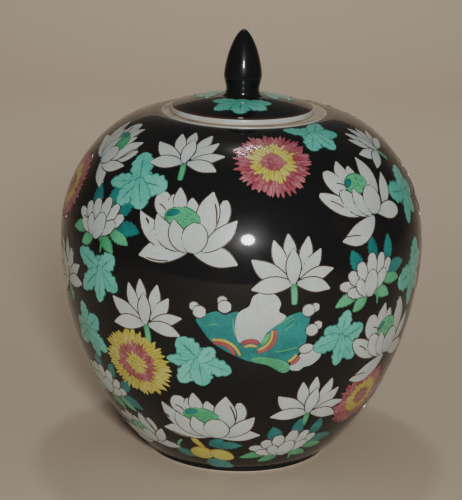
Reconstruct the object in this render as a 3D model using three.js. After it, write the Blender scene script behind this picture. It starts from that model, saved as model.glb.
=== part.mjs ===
// A ginger jar with a lift-off lid, in glazed porcelain.
// The body is two thrown sections joined at the belly, with a foot ring below and a mouth ring on top.
// The lid is a domed disc with a locating flange under it and a bud finial on it.
// Millimetres, +Z up. The origin is the centre of the foot, on the surface that the jar stands on.

import * as THREE from "three";

// ---- Driving dimensions of the jar ----
const BELLY_RADIUS = 125; // widest point, where the two sections are joined
const BELLY_HEIGHT = 152;
const SHOULDER_RADIUS = 58; // where the shoulder ends at the mouth ring
const SHOULDER_HEIGHT = 238.5;
const FOOT_JOINT_RADIUS = 66; // where the wall reaches the foot ring
const FOOT_JOINT_HEIGHT = 5.3;
const WALL = 6;
const BASE_THICKNESS = 8;
const THROAT_RADIUS = 42.5;
// Lengths of the handles that shape the wall's curves
const FOOT_FLARE_OUT = 40;
const FOOT_FLARE_UP = 38;
const BELLY_HANDLE_BELOW = 52;
const BELLY_HANDLE_ABOVE = 46;
const SHOULDER_REACH = 34;
const SHOULDER_DROP = 3.1;
const INSIDE_FLARE_OUT = 38;
const INSIDE_FLARE_UP = 30;
const INSIDE_HANDLE_ABOVE = 40;
const INSIDE_REACH = 44;
const INSIDE_DROP = 1;
const OUTSIDE_STEPS = 12;
const INSIDE_STEPS = 10;

const FOOT_RING_OUTER = 63;
const FOOT_RING_INNER = 56;
const FOOT_RING_HEIGHT = 5;
const FOOT_RING_EDGE = 1.2; // chamfer on the ring's standing edge

const MOUTH_RING_OUTER = 56;
const MOUTH_RING_INNER = 50.6;
const MOUTH_RING_HEIGHT = 2.8;
const MOUTH_RING_PROUD = 0.6; // how far it stands out of its groove in the shoulder

// ---- Driving dimensions of the lid ----
const LID_RADIUS = 48.8;
const LID_GLAZE_RADIUS = 47.2; // the black glaze stops short of the pale rim band
const LID_EDGE_HEIGHT = 3.6; // of the rim band
const LID_GLAZE_HEIGHT = 4.1;
const LID_RISE = 11.4; // underside of the lid's edge to the top of its curve
const LID_CURVE_POWER = 2;
const LID_HOLLOW_RADIUS = 34.5;
const LID_HOLLOW_RISE = 5.6;
const LID_HOLLOW_SHOULDER = { radius: 27.6, height: 1 }; // pulls the hollow's curve down to its edge
const LID_HOLLOW_STEPS = 5;
const LID_OFF_CENTRE = 1.4; // a lid laid in by hand sits a little to one side of its seat

const FLANGE_OUTER = 39.6;
const FLANGE_INNER = 35.4;
const FLANGE_DEPTH = 7.5;
const FLANGE_EDGE = 1; // chamfer on its lower outer edge

const FINIAL_PAD_RADIUS = 14.2;
const FINIAL_BASE_RADIUS = 13.6;
const FINIAL_NECK_RADIUS = 11.2;
const FINIAL_NECK_HEIGHT = 4.2; // heights on the finial are above its base
const FINIAL_FLARE_RADIUS = 12; // where the neck flares out to the base
const FINIAL_FLARE_HEIGHT = 1.4;
const FINIAL_BUD_RADIUS = 12.9;
const FINIAL_BUD_HEIGHT = 13.6;
const FINIAL_HEIGHT = 44.8;
const BUD_SHARPNESS = 1.5; // powers that round the bud towards its tip
const BUD_FULLNESS = 0.6;

const SLIP_SEAM = 0.3; // gap that stands for the slip between two joined pieces
const SEGMENTS = 64; // round the jar's own axis
const BUD_SEGMENTS = 40;

// ---- Finishes ----
const blackGlaze = new THREE.MeshStandardMaterial({ color: 0x1c1a1a, roughness: 0.12, metalness: 0 });
const whiteGlaze = new THREE.MeshStandardMaterial({ color: 0xd9dcd8, roughness: 0.18, metalness: 0 });
const bareBiscuit = new THREE.MeshStandardMaterial({ color: 0xcdbfa8, roughness: 0.85, metalness: 0 });

const point = (radius, height) => new THREE.Vector2(radius, height);

// Points along a cubic curve that leaves its start and reaches its end along the two handles.
function curvePoints(start, startHandle, endHandle, end, steps) {
  return new THREE.CubicBezierCurve(start, startHandle, endHandle, end).getPoints(steps);
}

// A ring-shaped solid: the profile runs round counter-clockwise (radius across, height up).
function ringGeometry(profile, segments = SEGMENTS) {
  return new THREE.LatheGeometry([...profile, profile[0].clone()], segments).rotateX(Math.PI / 2);
}

// A solid that crosses the axis: the profile starts and ends on it.
function solidGeometry(profile, segments = SEGMENTS) {
  return new THREE.LatheGeometry(profile, segments).rotateX(Math.PI / 2);
}

function namedMesh(name, geometry, material, height = 0) {
  const mesh = new THREE.Mesh(geometry, material);
  mesh.name = name;
  mesh.position.z = height;
  return mesh;
}

// ---- Lower section: a closed base and a wall that opens out to the belly ----
function lowerSectionGeometry() {
  const top = BELLY_HEIGHT - SLIP_SEAM / 2;
  const outside = curvePoints(
    point(FOOT_JOINT_RADIUS, FOOT_JOINT_HEIGHT),
    point(FOOT_JOINT_RADIUS + FOOT_FLARE_OUT, FOOT_JOINT_HEIGHT + FOOT_FLARE_UP),
    point(BELLY_RADIUS, BELLY_HEIGHT - BELLY_HANDLE_BELOW),
    point(BELLY_RADIUS, top),
    OUTSIDE_STEPS,
  );
  const floorRadius = FOOT_JOINT_RADIUS - WALL;
  const floorHeight = FOOT_JOINT_HEIGHT + BASE_THICKNESS;
  const inside = curvePoints(
    point(BELLY_RADIUS - WALL, top),
    point(BELLY_RADIUS - WALL, BELLY_HEIGHT - BELLY_HANDLE_BELOW),
    point(floorRadius + INSIDE_FLARE_OUT, floorHeight + INSIDE_FLARE_UP),
    point(floorRadius, floorHeight),
    INSIDE_STEPS,
  );
  return solidGeometry([point(0, FOOT_JOINT_HEIGHT), ...outside, ...inside, point(0, floorHeight)]);
}

// ---- Upper section: the shoulder, with a seat round the throat and a groove for the mouth ring ----
function upperSectionGeometry() {
  const bottom = BELLY_HEIGHT + SLIP_SEAM / 2;
  const outside = curvePoints(
    point(BELLY_RADIUS, bottom),
    point(BELLY_RADIUS, BELLY_HEIGHT + BELLY_HANDLE_ABOVE),
    point(SHOULDER_RADIUS + SHOULDER_REACH, SHOULDER_HEIGHT - SHOULDER_DROP),
    point(SHOULDER_RADIUS, SHOULDER_HEIGHT),
    OUTSIDE_STEPS,
  );
  const ceiling = SHOULDER_HEIGHT - WALL;
  const inside = curvePoints(
    point(THROAT_RADIUS, ceiling),
    point(THROAT_RADIUS + INSIDE_REACH, ceiling - INSIDE_DROP),
    point(BELLY_RADIUS - WALL, BELLY_HEIGHT + INSIDE_HANDLE_ABOVE),
    point(BELLY_RADIUS - WALL, bottom),
    INSIDE_STEPS,
  );
  const grooveFloor = SHOULDER_HEIGHT + MOUTH_RING_PROUD - MOUTH_RING_HEIGHT - SLIP_SEAM;
  return ringGeometry([
    ...outside,
    point(MOUTH_RING_OUTER + SLIP_SEAM, SHOULDER_HEIGHT),
    point(MOUTH_RING_OUTER + SLIP_SEAM, grooveFloor),
    point(MOUTH_RING_INNER - SLIP_SEAM, grooveFloor),
    point(MOUTH_RING_INNER - SLIP_SEAM, SHOULDER_HEIGHT),
    point(THROAT_RADIUS, SHOULDER_HEIGHT),
    ...inside,
  ]);
}

// ---- Foot ring: a low turned ring, set in from the wall, that the jar stands on ----
function footRingGeometry() {
  return ringGeometry([
    point(FOOT_RING_INNER + FOOT_RING_EDGE, 0),
    point(FOOT_RING_OUTER - FOOT_RING_EDGE, 0),
    point(FOOT_RING_OUTER, FOOT_RING_EDGE),
    point(FOOT_RING_OUTER, FOOT_RING_HEIGHT),
    point(FOOT_RING_INNER, FOOT_RING_HEIGHT),
    point(FOOT_RING_INNER, FOOT_RING_EDGE),
  ]);
}

// ---- Mouth ring: a flat collar let into the shoulder, a little proud of it, round the lid ----
function mouthRingGeometry() {
  const edge = MOUTH_RING_PROUD / 2;
  const top = MOUTH_RING_HEIGHT;
  return ringGeometry([
    point(MOUTH_RING_INNER, 0),
    point(MOUTH_RING_OUTER, 0),
    point(MOUTH_RING_OUTER, top - edge),
    point(MOUTH_RING_OUTER - edge, top),
    point(MOUTH_RING_INNER + edge, top),
    point(MOUTH_RING_INNER, top - edge),
  ]);
}

// Heights on the lid are above the underside of its edge.
function lidTopHeight(radius) {
  const slope = 1 - Math.pow(radius / LID_GLAZE_RADIUS, LID_CURVE_POWER);
  return LID_GLAZE_HEIGHT + (LID_RISE - LID_GLAZE_HEIGHT) * slope;
}

// ---- Lid dome: a shallow domed disc, hollowed underneath, with a flat pad for the finial ----
function lidDomeGeometry() {
  const hollow = curvePoints(
    point(0, LID_HOLLOW_RISE),
    point(LID_HOLLOW_RADIUS / 2, LID_HOLLOW_RISE),
    point(LID_HOLLOW_SHOULDER.radius, LID_HOLLOW_SHOULDER.height),
    point(LID_HOLLOW_RADIUS, 0),
    LID_HOLLOW_STEPS,
  );
  const domeSteps = 6;
  const top = [];
  for (let step = 0; step <= domeSteps; step++) {
    const radius = THREE.MathUtils.lerp(LID_GLAZE_RADIUS, FINIAL_PAD_RADIUS, step / domeSteps);
    top.push(point(radius, lidTopHeight(radius)));
  }
  const pad = lidTopHeight(FINIAL_PAD_RADIUS);
  return solidGeometry([
    ...hollow,
    point(LID_RADIUS, 0),
    point(LID_RADIUS, LID_EDGE_HEIGHT),
    ...top,
    point(0, pad),
  ]);
}

// ---- Lid flange: a short ring under the disc that keeps the lid in the throat ----
function lidFlangeGeometry() {
  return ringGeometry([
    point(FLANGE_INNER, -FLANGE_DEPTH),
    point(FLANGE_OUTER - FLANGE_EDGE, -FLANGE_DEPTH),
    point(FLANGE_OUTER, FLANGE_EDGE - FLANGE_DEPTH),
    point(FLANGE_OUTER, 0),
    point(FLANGE_INNER, 0),
  ]);
}

// ---- Finial: a closed bud on a waisted neck ----
function finialGeometry() {
  const profile = [
    point(0, 0),
    point(FINIAL_BASE_RADIUS, 0),
    point(FINIAL_FLARE_RADIUS, FINIAL_FLARE_HEIGHT),
  ];
  const swellSteps = 4;
  for (let step = 0; step < swellSteps; step++) {
    const share = step / swellSteps;
    const swell = (1 - Math.cos(Math.PI * share)) / 2;
    profile.push(point(
      THREE.MathUtils.lerp(FINIAL_NECK_RADIUS, FINIAL_BUD_RADIUS, swell),
      THREE.MathUtils.lerp(FINIAL_NECK_HEIGHT, FINIAL_BUD_HEIGHT, share),
    ));
  }
  const taperSteps = 10;
  for (let step = 0; step < taperSteps; step++) {
    const rise = Math.sin((Math.PI / 2) * (step / taperSteps));
    const radius = FINIAL_BUD_RADIUS * Math.pow(1 - Math.pow(rise, BUD_SHARPNESS), BUD_FULLNESS);
    profile.push(point(radius, THREE.MathUtils.lerp(FINIAL_BUD_HEIGHT, FINIAL_HEIGHT, rise)));
  }
  profile.push(point(0, FINIAL_HEIGHT));
  return solidGeometry(profile, BUD_SEGMENTS);
}

const ringHeight = SHOULDER_HEIGHT + MOUTH_RING_PROUD - MOUTH_RING_HEIGHT;
const jar = new THREE.Group();
jar.add(
  namedMesh("foot_ring", footRingGeometry(), bareBiscuit),
  namedMesh("jar_lower_section", lowerSectionGeometry(), blackGlaze),
  namedMesh("jar_upper_section", upperSectionGeometry(), blackGlaze),
  namedMesh("mouth_ring", mouthRingGeometry(), whiteGlaze, ringHeight),
);

const lid = new THREE.Group();
lid.position.set(-LID_OFF_CENTRE, 0, SHOULDER_HEIGHT + SLIP_SEAM);
lid.add(
  namedMesh("lid_dome", lidDomeGeometry(), blackGlaze),
  namedMesh("lid_flange", lidFlangeGeometry(), bareBiscuit, -SLIP_SEAM),
  namedMesh("lid_finial", finialGeometry(), blackGlaze, lidTopHeight(FINIAL_PAD_RADIUS) + SLIP_SEAM),
);

const gingerJar = new THREE.Group();
gingerJar.add(jar, lid);

export default gingerJar;
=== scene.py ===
"""A black-glazed porcelain ginger jar with a lift-off lid and raised enamel flowers.

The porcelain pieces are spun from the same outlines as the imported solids. The flowers are real raised
enamel: each petal, leaf lobe and ray is its own domed stroke, bent onto the wall that it was painted on.
Outlines and strokes are laid out in millimetres, and every finished mesh is in metres.
"""

import logging
import math
import random
from dataclasses import dataclass, field
from enum import Enum

import bmesh
import bpy
from mathutils import Matrix, Vector

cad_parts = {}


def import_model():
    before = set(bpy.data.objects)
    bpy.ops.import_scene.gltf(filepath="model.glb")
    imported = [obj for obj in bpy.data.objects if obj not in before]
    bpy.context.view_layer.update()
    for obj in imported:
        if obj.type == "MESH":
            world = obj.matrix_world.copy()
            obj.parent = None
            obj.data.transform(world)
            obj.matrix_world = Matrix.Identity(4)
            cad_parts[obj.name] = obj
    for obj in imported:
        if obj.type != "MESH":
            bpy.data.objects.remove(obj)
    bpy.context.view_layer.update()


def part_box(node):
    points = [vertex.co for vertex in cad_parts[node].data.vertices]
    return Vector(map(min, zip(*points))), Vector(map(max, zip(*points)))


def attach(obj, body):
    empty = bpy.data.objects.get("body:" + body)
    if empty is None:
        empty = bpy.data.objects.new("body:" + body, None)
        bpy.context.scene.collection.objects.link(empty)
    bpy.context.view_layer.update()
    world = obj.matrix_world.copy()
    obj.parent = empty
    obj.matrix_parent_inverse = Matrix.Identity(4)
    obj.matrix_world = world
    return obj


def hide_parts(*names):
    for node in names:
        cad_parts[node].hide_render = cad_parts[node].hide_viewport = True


LOG = logging.getLogger("ginger_jar")
MM = 0.001

Point = tuple[float, float]


# ---------------------------------------------------------------- outlines


def curve_points(
    start: Point, start_handle: Point, end_handle: Point, end: Point, steps: int
) -> list[Point]:
    """Points along a cubic curve.

    Args:
        start: First point.
        start_handle: Point that the curve heads for as it leaves.
        end_handle: Point that the curve comes from as it arrives.
        end: Last point.
        steps: Number of stretches.

    Returns:
        steps + 1 points.
    """
    points = []
    for step in range(steps + 1):
        t = step / steps
        weights = ((1 - t) ** 3, 3 * t * (1 - t) ** 2, 3 * t * t * (1 - t), t**3)
        corners = (start, start_handle, end_handle, end)
        points.append(tuple(sum(w * c[axis] for w, c in zip(weights, corners)) for axis in (0, 1)))
    return points


def arc_points(centre: Point, radius: float, start_deg: float, end_deg: float, steps: int) -> list[Point]:
    """Points along a round arc.

    Args:
        centre: Centre of the arc.
        radius: Its radius.
        start_deg: Angle of the first point, from the outward direction.
        end_deg: Angle of the last point.
        steps: Number of stretches.

    Returns:
        steps + 1 points.
    """
    points = []
    for step in range(steps + 1):
        angle = math.radians(start_deg + (end_deg - start_deg) * step / steps)
        points.append((centre[0] + radius * math.cos(angle), centre[1] + radius * math.sin(angle)))
    return points


def smooth_loop(corners: list[Point], steps: int) -> list[Point]:
    """A smooth closed line through a few points.

    Args:
        corners: The points, in order round the shape.
        steps: Number of stretches between two of them.

    Returns:
        The points of the line, without a repeated last one.
    """
    points = []
    count = len(corners)
    for index in range(count):
        before, here, after, beyond = (corners[(index + k) % count] for k in (-1, 0, 1, 2))
        for step in range(steps):
            t = step / steps
            points.append(
                tuple(
                    0.5
                    * (
                        2 * here[a]
                        + (after[a] - before[a]) * t
                        + (2 * before[a] - 5 * here[a] + 4 * after[a] - beyond[a]) * t * t
                        + (3 * here[a] - before[a] - 3 * after[a] + beyond[a]) * t**3
                    )
                    for a in (0, 1)
                )
            )
    return points


@dataclass(frozen=True)
class RoundNode:
    """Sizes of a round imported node, in millimetres."""

    radius: float
    low: float
    high: float
    middle: float

    @classmethod
    def of(cls, name: str) -> "RoundNode":
        """Reads a node's radius, height span and sideways place from its box."""
        low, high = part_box(name)
        return cls((high.x - low.x) / 2 / MM, low.z / MM, high.z / MM, (high.x + low.x) / 2 / MM)


# ---------------------------------------------------------------- finishes


class Recipe:
    """A node material under construction, with a Principled shader at its end."""

    def __init__(self, name: str) -> None:
        """Starts an empty material of that name."""
        self.material = bpy.data.materials.new(name)
        self.material.use_nodes = True
        self.tree = self.material.node_tree
        self.shader = self.tree.nodes["Principled BSDF"]

    def set(self, **values: float) -> None:
        """Sets constants on the shader, named as its sockets with _ for a space."""
        for name, value in values.items():
            self.shader.inputs[name.replace("_", " ")].default_value = value

    def node(self, kind: str, inputs: dict | None = None, **settings: object) -> bpy.types.Node:
        """Adds a node.

        Args:
            kind: Node type, without the ShaderNode prefix.
            inputs: Values or sockets for its inputs, by name or place.
            **settings: The node's own properties.

        Returns:
            The new node.
        """
        made = self.tree.nodes.new("ShaderNode" + kind)
        for name, value in settings.items():
            setattr(made, name, value)
        for name, value in (inputs or {}).items():
            if isinstance(value, bpy.types.NodeSocket):
                self.tree.links.new(value, made.inputs[name])
            else:
                made.inputs[name].default_value = value
        return made

    def places(self) -> bpy.types.NodeSocket:
        """The piece's own coordinates."""
        return self.node("TexCoord").outputs["Object"]

    def noise(self, vector: bpy.types.NodeSocket, scale: float, detail: float = 3.0) -> bpy.types.NodeSocket:
        """A cloudy value from 0 to 1."""
        inputs = {"Vector": vector, "Scale": scale, "Detail": detail, "Roughness": 0.55}
        return self.node("TexNoise", inputs).outputs["Fac"]

    def ramp(
        self, value: bpy.types.NodeSocket, low: float, high: float, start: float = 0.0, end: float = 1.0
    ):
        """A value that runs from start to end while its input runs from low to high."""
        inputs = {"Value": value, "From Min": low, "From Max": high, "To Min": start, "To Max": end}
        return self.node("MapRange", inputs, interpolation_type="SMOOTHSTEP").outputs["Result"]

    def math(self, operation: str, first: object, second: object = 0.0) -> bpy.types.NodeSocket:
        """One step of arithmetic."""
        return self.node("Math", {0: first, 1: second}, operation=operation).outputs[0]

    def mix(self, first: object, second: object, factor: object, blend: str = "MIX") -> bpy.types.NodeSocket:
        """A colour between two colours."""
        made = self.node("Mix", {"Factor": factor}, data_type="RGBA", blend_type=blend)
        for place, value in ((6, first), (7, second)):
            if isinstance(value, bpy.types.NodeSocket):
                self.tree.links.new(value, made.inputs[place])
            else:
                made.inputs[place].default_value = (*value, 1.0)
        return made.outputs[2]

    def feed(self, name: str, socket: bpy.types.NodeSocket) -> None:
        """Links a socket to one of the shader's inputs."""
        self.tree.links.new(socket, self.shader.inputs[name])

    def emboss(self, height: bpy.types.NodeSocket, depth: float, strength: float = 1.0) -> None:
        """Raises the surface by a height that runs from 0 to 1, over depth in metres."""
        inputs = {"Height": height, "Distance": depth, "Strength": strength}
        self.feed("Normal", self.node("Bump", inputs).outputs["Normal"])


Colour = tuple[float, float, float]


@dataclass(frozen=True)
class BlackGlaze:
    """Deep black lead glaze: a mirror skin over a slightly hazy ground."""

    slot: str = "black_glaze"
    ground: Colour = (0.009, 0.009, 0.0095)
    bloom: Colour = (0.016, 0.014, 0.012)

    def material(self) -> bpy.types.Material:
        """Builds the glaze, with faint brown bloom, fine pinholes and the ripple of a poured coat."""
        recipe = Recipe(self.slot)
        places = recipe.places()
        cloud = recipe.noise(places, 26.0, 5.0)
        recipe.feed("Base Color", recipe.mix(self.ground, self.bloom, recipe.ramp(cloud, 0.45, 0.75)))
        haze = recipe.noise(places, 90.0, 2.0)
        recipe.feed("Roughness", recipe.ramp(haze, 0.3, 0.7, 0.24, 0.33))
        recipe.set(Coat_Weight=0.64, Coat_Roughness=0.06, Coat_IOR=1.38, Specular_IOR_Level=0.08)
        ripple = recipe.noise(places, 34.0, 1.0)
        pits = recipe.node("TexVoronoi", {"Vector": places, "Scale": 700.0}).outputs["Distance"]
        height = recipe.math("ADD", ripple, recipe.ramp(pits, 0.0, 0.12, -0.05, 0.0))
        recipe.emboss(height, 0.00022, 0.28)
        return recipe.material


@dataclass(frozen=True)
class ClearGlaze:
    """Clear glaze over white porcelain, with iron specks and a warm tinge where it is thin."""

    slot: str = "white_glaze"
    body: Colour = (0.50, 0.54, 0.50)
    thin: Colour = (0.46, 0.42, 0.33)
    speck: Colour = (0.10, 0.07, 0.05)

    def material(self) -> bpy.types.Material:
        """Builds the glazed white porcelain."""
        recipe = Recipe(self.slot)
        places = recipe.places()
        tinge = recipe.ramp(recipe.noise(places, 55.0, 4.0), 0.42, 0.72, 0.0, 0.75)
        colour = recipe.mix(self.body, self.thin, tinge)
        cells = recipe.node("TexVoronoi", {"Vector": places, "Scale": 240.0}).outputs["Distance"]
        colour = recipe.mix(colour, self.speck, recipe.ramp(cells, 0.05, 0.09, 0.6, 0.0))
        recipe.feed("Base Color", colour)
        recipe.feed("Roughness", recipe.ramp(recipe.noise(places, 120.0), 0.3, 0.7, 0.16, 0.3))
        recipe.set(Coat_Weight=0.4, Coat_Roughness=0.06, IOR=1.5)
        recipe.emboss(recipe.noise(places, 150.0, 2.0), 0.00025, 0.4)
        return recipe.material


@dataclass(frozen=True)
class Biscuit:
    """Bare fired clay, with turning lines, grit and a scorch of brown."""

    slot: str = "bisque"
    clay: Colour = (0.56, 0.47, 0.36)
    scorch: Colour = (0.30, 0.19, 0.11)

    def material(self) -> bpy.types.Material:
        """Builds the bare clay."""
        recipe = Recipe(self.slot)
        places = recipe.places()
        patches = recipe.ramp(recipe.noise(places, 40.0, 6.0), 0.5, 0.8, 0.0, 0.8)
        grit = recipe.node("TexVoronoi", {"Vector": places, "Scale": 1400.0}).outputs["Distance"]
        colour = recipe.mix(self.clay, self.scorch, patches)
        colour = recipe.mix(colour, (0.75, 0.7, 0.6), recipe.ramp(grit, 0.0, 0.16, 0.35, 0.0))
        recipe.feed("Base Color", colour)
        recipe.set(Roughness=0.86, Specular_IOR_Level=0.25)
        axes = recipe.node("SeparateXYZ", {0: places})
        across = recipe.math("MULTIPLY", axes.outputs[0], axes.outputs[0])
        along = recipe.math("MULTIPLY", axes.outputs[1], axes.outputs[1])
        radius = recipe.math("SQRT", recipe.math("ADD", across, along))
        lines = recipe.math("SINE", recipe.math("MULTIPLY", radius, 9000.0))
        grain = recipe.noise(places, 900.0, 4.0)
        recipe.emboss(recipe.math("ADD", recipe.math("MULTIPLY", lines, 0.2), grain), 0.00012, 0.6)
        return recipe.material


class BrushWork(Enum):
    """How the brush was used within one stroke of enamel."""

    WASH = "soft streaks along a petal"
    VEINS = "a dark midrib with side veins up a lobe"
    RAY = "one pale line down a narrow ray"


@dataclass(frozen=True)
class Enamel:
    """An overglaze enamel. Its strokes carry their own place along, place across, rim and tone."""

    slot: str
    colour: Colour
    light: Colour
    deep: Colour
    brushwork: BrushWork
    rim: Colour = (0.045, 0.028, 0.02)
    rim_strength: float = 0.9
    roughness: float = 0.27
    cloud: Colour | None = None

    def material(self) -> bpy.types.Material:
        """Builds the enamel, shaded stroke by stroke."""
        recipe = Recipe(self.slot)
        stroke = recipe.node("UVMap", uv_map="stroke").outputs["UV"]
        axes = recipe.node("SeparateXYZ", {0: stroke})
        along, across = axes.outputs[0], axes.outputs[1]
        tone = recipe.node("Attribute", attribute_name="tone").outputs["Color"]
        parts = recipe.node("SeparateColor", {0: tone})
        rim, shade = parts.outputs[0], parts.outputs[1]
        shifted = recipe.math("ADD", across, recipe.math("MULTIPLY", shade, 23.0))
        grain_at = recipe.node("CombineXYZ", {0: recipe.math("MULTIPLY", along, 1.6), 1: shifted})
        streaks = recipe.noise(grain_at.outputs[0], 9.0, 4.0)
        colour = recipe.mix(self.colour, self.light, recipe.ramp(shade, 0.35, 1.0, 0.0, 0.7))
        colour = recipe.mix(colour, self.deep, self.dark_parts(recipe, along, across, streaks))
        blotch = recipe.ramp(recipe.noise(recipe.places(), 110.0, 3.0), 0.4, 0.68, 0.0, 0.5)
        colour = recipe.mix(colour, self.cloud or self.light, blotch)
        colour = recipe.mix(colour, self.rim, recipe.math("MULTIPLY", rim, self.rim_strength))
        recipe.feed("Base Color", colour)
        recipe.set(Coat_Weight=0.5, Coat_Roughness=0.07, IOR=1.48)
        recipe.feed("Roughness", recipe.ramp(streaks, 0.3, 0.7, self.roughness, self.roughness + 0.14))
        recipe.emboss(streaks, 0.00018, 0.5)
        return recipe.material

    def dark_parts(
        self,
        recipe: Recipe,
        along: bpy.types.NodeSocket,
        across: bpy.types.NodeSocket,
        streaks: bpy.types.NodeSocket,
    ) -> bpy.types.NodeSocket:
        """Where the deeper colour lies within a stroke.

        Args:
            recipe: The material being built.
            along: 0 at a stroke's root, 1 at its tip.
            across: 0 at one side, 1 at the other.
            streaks: Cloudy value drawn out along the stroke.

        Returns:
            How much of the deeper colour shows, from 0 to 1.
        """
        if self.brushwork is BrushWork.WASH:
            root = recipe.ramp(along, 0.0, 0.5, 0.5, 0.0)
            return recipe.math("ADD", root, recipe.ramp(streaks, 0.48, 0.66, 0.0, 0.5))
        if self.brushwork is BrushWork.VEINS:
            wander = recipe.math("ADD", across, recipe.math("MULTIPLY", streaks, 0.1))
            middle = recipe.math("ABSOLUTE", recipe.math("SUBTRACT", wander, 0.55))
            lean = recipe.math("MULTIPLY", middle, 5.0)
            slant = recipe.math("SUBTRACT", recipe.math("MULTIPLY", along, 6.0), lean)
            wave = recipe.math("ABSOLUTE", recipe.math("SINE", recipe.math("MULTIPLY", slant, math.pi)))
            spine = recipe.ramp(middle, 0.015, 0.05, 0.9, 0.0)
            veins = recipe.math("MAXIMUM", spine, recipe.ramp(wave, 0.06, 0.3, 0.7, 0.0))
            return recipe.math("MULTIPLY", veins, recipe.ramp(along, 0.6, 1.0, 1.0, 0.3))
        centre = recipe.math("ABSOLUTE", recipe.math("SUBTRACT", across, 0.5))
        sides = recipe.ramp(centre, 0.1, 0.42, 0.0, 0.8)
        return recipe.math("ADD", sides, recipe.ramp(along, 0.0, 0.6, 0.35, 0.0))


@dataclass
class Palette:
    """Every finish on the jar, each made into a material once."""

    made: dict[object, bpy.types.Material] = field(default_factory=dict)
    black: BlackGlaze = BlackGlaze()
    thin_black: BlackGlaze = BlackGlaze("black_glaze", (0.05, 0.02, 0.012), (0.08, 0.035, 0.02))
    clear: ClearGlaze = ClearGlaze()
    bare: Biscuit = Biscuit()
    white: Enamel = Enamel(
        "enamel_white",
        (0.52, 0.59, 0.55),
        (0.62, 0.67, 0.63),
        (0.32, 0.42, 0.44),
        BrushWork.WASH,
        rim=(0.06, 0.033, 0.022),
        rim_strength=1.0,
        cloud=(0.51, 0.49, 0.42),
    )
    mint: Enamel = Enamel(
        "enamel_mint",
        (0.075, 0.48, 0.37),
        (0.16, 0.60, 0.47),
        (0.02, 0.14, 0.12),
        BrushWork.VEINS,
        rim=(0.02, 0.13, 0.10),
        rim_strength=0.7,
    )
    teal: Enamel = Enamel(
        "enamel_teal",
        (0.003, 0.155, 0.15),
        (0.013, 0.27, 0.245),
        (0.003, 0.08, 0.078),
        BrushWork.WASH,
        rim=(0.01, 0.10, 0.09),
    )
    green: Enamel = Enamel(
        "enamel_green",
        (0.055, 0.38, 0.16),
        (0.12, 0.52, 0.26),
        (0.02, 0.18, 0.08),
        BrushWork.WASH,
        rim=(0.03, 0.14, 0.06),
    )
    rose: Enamel = Enamel(
        "enamel_rose",
        (0.31, 0.055, 0.08),
        (0.50, 0.20, 0.22),
        (0.16, 0.018, 0.03),
        BrushWork.RAY,
        rim=(0.20, 0.03, 0.04),
        rim_strength=0.4,
    )
    yellow: Enamel = Enamel(
        "enamel_yellow",
        (0.50, 0.46, 0.05),
        (0.60, 0.58, 0.18),
        (0.33, 0.24, 0.03),
        BrushWork.RAY,
        rim=(0.30, 0.20, 0.03),
        rim_strength=0.4,
    )
    rose_wash: Enamel = Enamel(
        "enamel_rose",
        (0.33, 0.07, 0.075),
        (0.44, 0.16, 0.16),
        (0.22, 0.03, 0.04),
        BrushWork.WASH,
        rim=(0.20, 0.04, 0.05),
    )
    yellow_wash: Enamel = Enamel(
        "enamel_yellow",
        (0.53, 0.46, 0.06),
        (0.60, 0.56, 0.15),
        (0.42, 0.30, 0.04),
        BrushWork.WASH,
        rim=(0.28, 0.19, 0.03),
    )
    sepia: Enamel = Enamel(
        "outline_sepia", (0.07, 0.035, 0.015), (0.14, 0.07, 0.03), (0.03, 0.015, 0.01), BrushWork.WASH
    )

    def of(self, finish: BlackGlaze | ClearGlaze | Biscuit | Enamel) -> bpy.types.Material:
        """The finish's material."""
        if finish not in self.made:
            self.made[finish] = finish.material()
        return self.made[finish]


# ---------------------------------------------------------------- spun porcelain


@dataclass(frozen=True)
class SpunFinish:
    """A finish and the stretch of a spun outline that wears it, by outline point."""

    finish: BlackGlaze | ClearGlaze | Biscuit
    last_point: int


@dataclass
class SpunPiece:
    """A closed body of revolution about an upright axis."""

    name: str
    outline: list[Point]
    finishes: list[SpunFinish]
    axis_x: float = 0.0
    steps: int = 192

    def build(self, palette: Palette) -> bpy.types.Object:
        """Spins the outline and dresses each stretch of it.

        Args:
            palette: Where the materials come from.

        Returns:
            The finished piece.
        """
        form = bmesh.new()
        closed = self.outline[0][0] > 0
        points = [form.verts.new((radius * MM, 0, height * MM)) for radius, height in self.outline]
        pairs = list(zip(points, points[1:] + points[:1] if closed else points[1:]))
        edges = [form.edges.new(pair) for pair in pairs]
        bmesh.ops.spin(
            form,
            geom=points + edges,
            cent=(0, 0, 0),
            axis=(0, 0, 1),
            angle=2 * math.pi,
            steps=self.steps,
            use_merge=True,
        )
        bmesh.ops.remove_doubles(form, verts=form.verts, dist=1e-7)
        bmesh.ops.recalc_face_normals(form, faces=form.faces)
        self.assign(form)
        bmesh.ops.translate(form, verts=form.verts, vec=(self.axis_x * MM, 0, 0))
        mesh = bpy.data.meshes.new(self.name)
        form.to_mesh(mesh)
        form.free()
        LOG.info("%s: %d faces", self.name, len(mesh.polygons))
        return dressed(mesh, [palette.of(stretch.finish) for stretch in self.finishes], 48)

    def assign(self, form: bmesh.types.BMesh) -> None:
        """Gives each face the finish of the outline stretch that it was spun from."""
        middles = []
        count = len(self.outline)
        for index in range(count):
            here, after = self.outline[index], self.outline[(index + 1) % count]
            middles.append(((here[0] + after[0]) / 2 * MM, (here[1] + after[1]) / 2 * MM))
        numbers = {}
        for face in form.faces:
            centre = face.calc_center_median()
            radius, height = math.hypot(centre.x, centre.y), centre.z
            key = (round(radius, 6), round(height, 6))
            if key not in numbers:
                nearest = min(
                    range(count), key=lambda k: (middles[k][0] - radius) ** 2 + (middles[k][1] - height) ** 2
                )
                numbers[key] = next(i for i, s in enumerate(self.finishes) if nearest < s.last_point)
            face.material_index = numbers[key]


# ---------------------------------------------------------------- surfaces that enamel is laid on


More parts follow.
